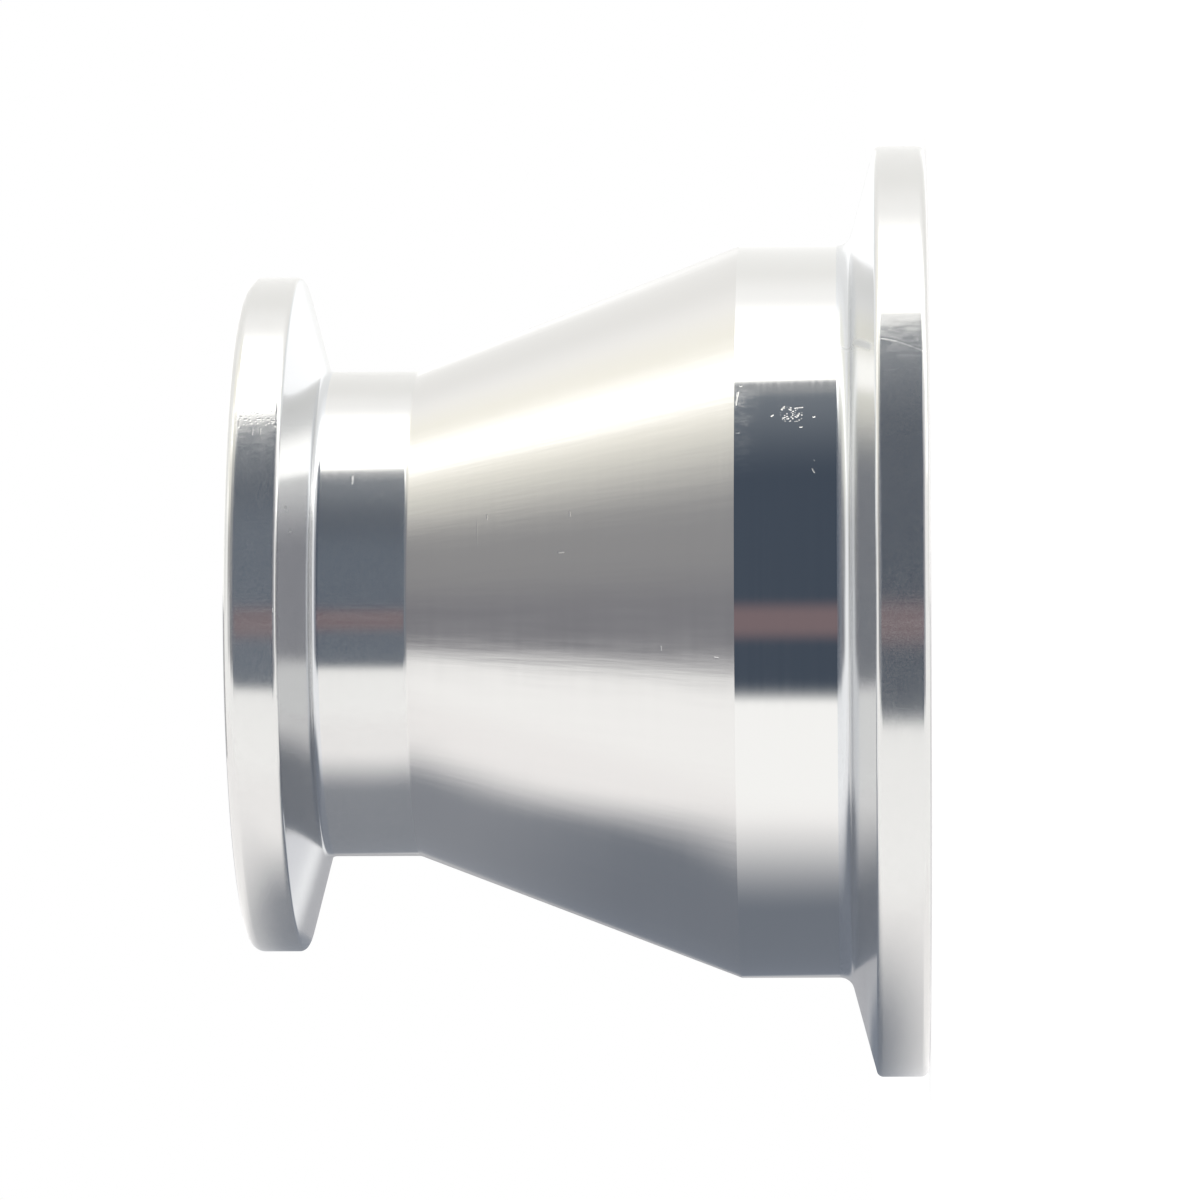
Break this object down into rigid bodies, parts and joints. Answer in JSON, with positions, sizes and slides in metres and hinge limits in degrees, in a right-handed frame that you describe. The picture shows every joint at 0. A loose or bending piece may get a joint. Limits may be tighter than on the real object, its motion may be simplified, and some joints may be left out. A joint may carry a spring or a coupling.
{
  "type": "kf conical reducer",
  "caption": "One-piece stainless vacuum reducer: a cone and short tubes between a wide and a narrow quick-clamp flange, open right through.",
  "frame": {"origin": "centre of the wide KF40 flange's face, which the fitting stands on", "axes": "+Z along the passage's axis, from the wide flange to the narrow one; X and Y are alike"},
  "size_m": [0.055, 0.055, 0.04],
  "materials": {
    "stainless_steel": "turned and polished stainless steel: near mirror on the rims and tubes, satin on the cone"
  },
  "bodies": {
    "root": {"reducer_body": "stainless_steel"}
  },
  "joints": []
}
